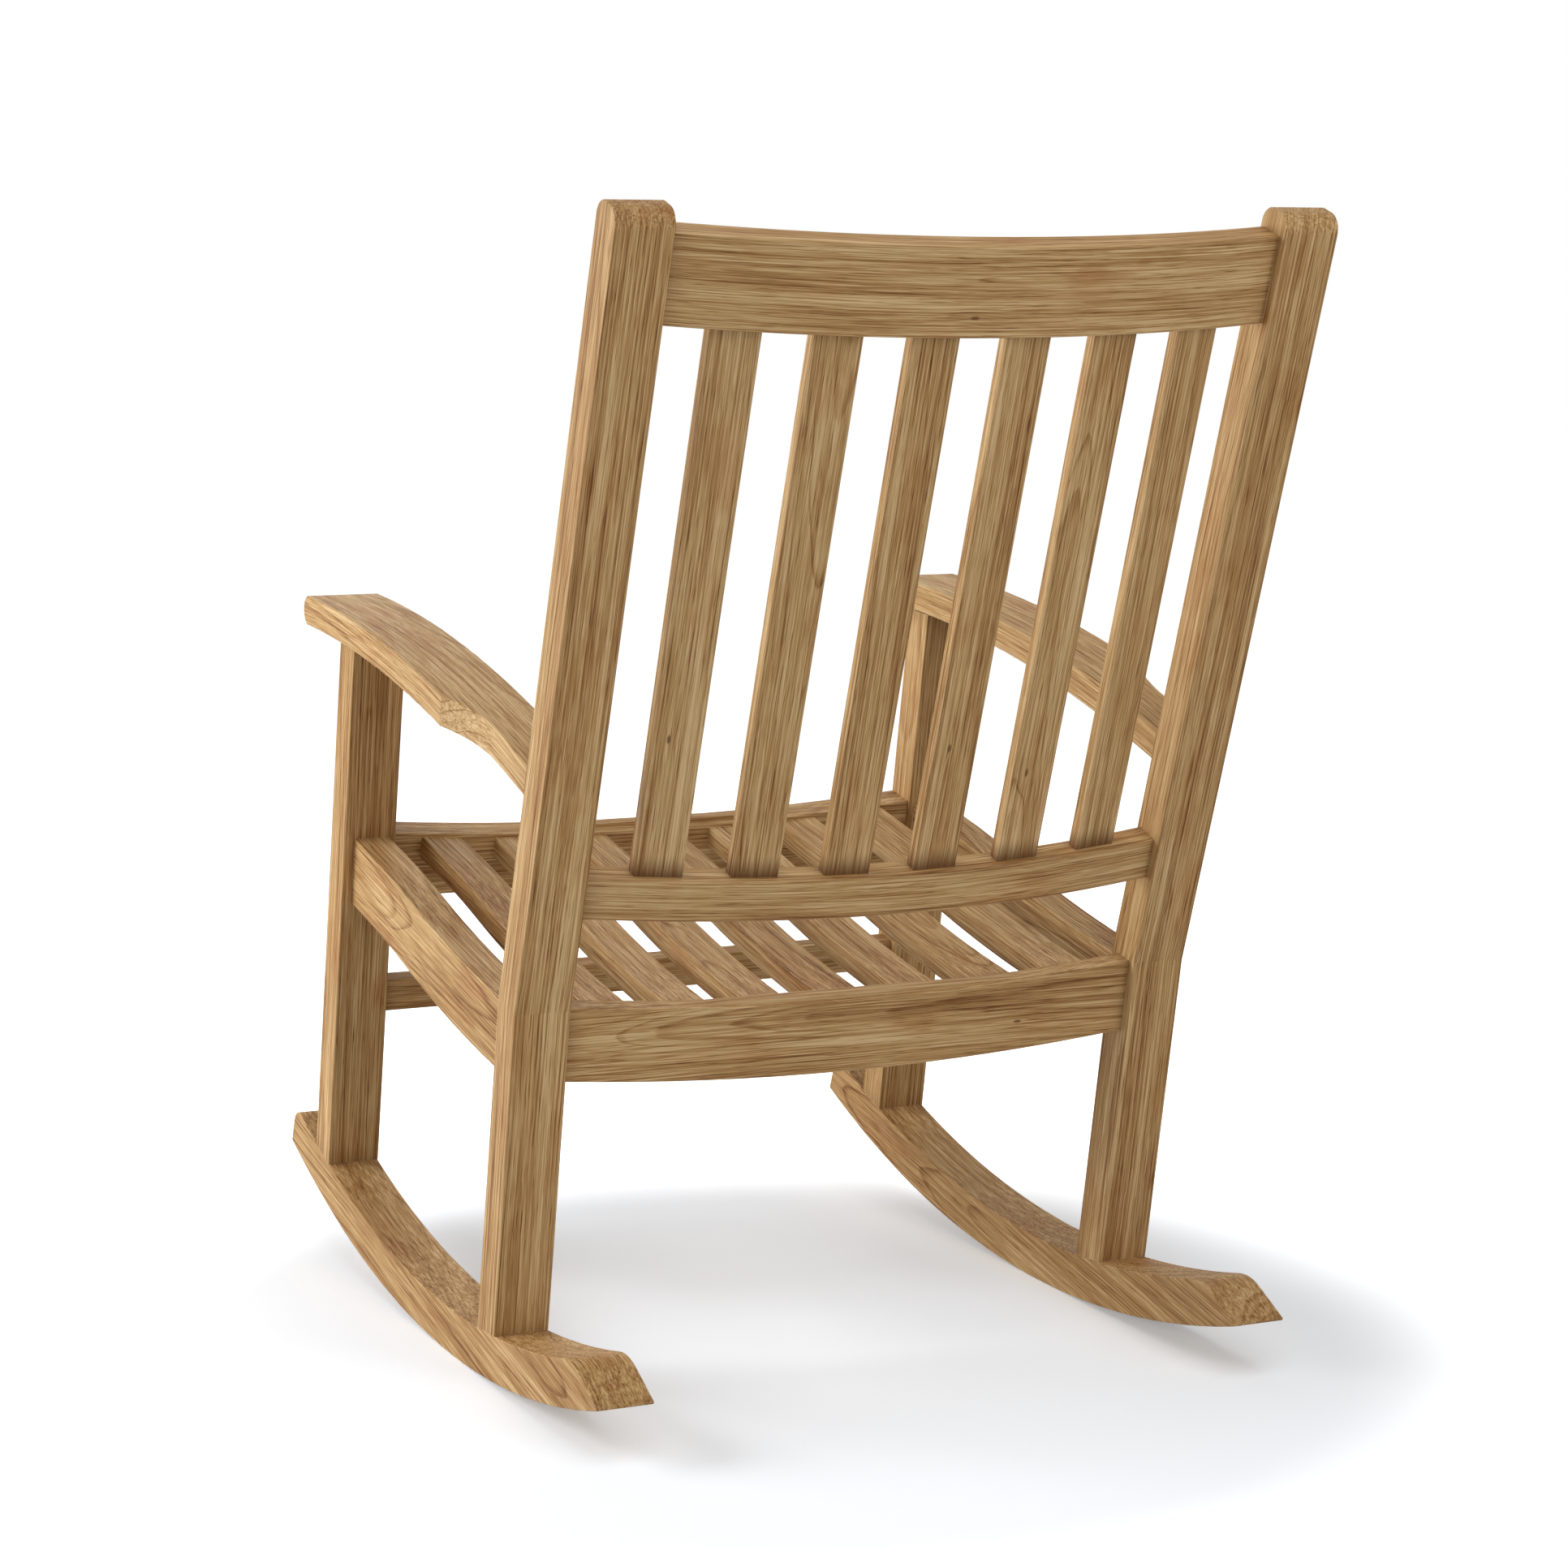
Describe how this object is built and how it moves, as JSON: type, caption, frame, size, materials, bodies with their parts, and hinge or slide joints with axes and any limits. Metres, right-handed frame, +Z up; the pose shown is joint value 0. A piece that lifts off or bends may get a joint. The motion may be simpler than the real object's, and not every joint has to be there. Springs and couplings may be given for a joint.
{
  "type": "rocking chair",
  "caption": "Slatted wooden rocking armchair with curved rockers, bent rear posts, bowed slat back, dished slat seat and arched arms.",
  "frame": {"origin": "on the floor, under the middle of the bounding box, with the rockers' lower arcs touching the floor plane", "axes": "+Z up, -Y the way the sitter faces, +X to the sitter's left"},
  "size_m": [0.68, 0.8812, 1.0009],
  "materials": {
    "hardwood": "oiled satin hardwood, fine straight grain",
    "dowel_wood": "plain turned hardwood"
  },
  "bodies": {
    "root": {"rocker_left": "hardwood", "front_leg_left": "hardwood", "rear_post_left": "hardwood", "side_seat_rail_left": "hardwood", "arm_left": "hardwood", "rocker_right": "hardwood", "front_leg_right": "hardwood", "rear_post_right": "hardwood", "side_seat_rail_right": "hardwood", "arm_right": "hardwood", "front_seat_rail": "hardwood", "rear_seat_rail": "hardwood", "front_stretcher": "hardwood", "lower_back_rail": "hardwood", "crest_rail": "hardwood", "seat_slat_1": "hardwood", "seat_slat_2": "hardwood", "seat_slat_3": "hardwood", "seat_slat_4": "hardwood", "seat_slat_5": "hardwood", "seat_slat_6": "hardwood", "seat_slat_7": "hardwood", "back_slat_1": "hardwood", "back_slat_2": "hardwood", "back_slat_3": "hardwood", "back_slat_4": "hardwood", "back_slat_5": "hardwood", "back_slat_6": "hardwood", "rocker_dowels": "dowel_wood", "arm_dowels": "dowel_wood"}
  },
  "joints": []
}
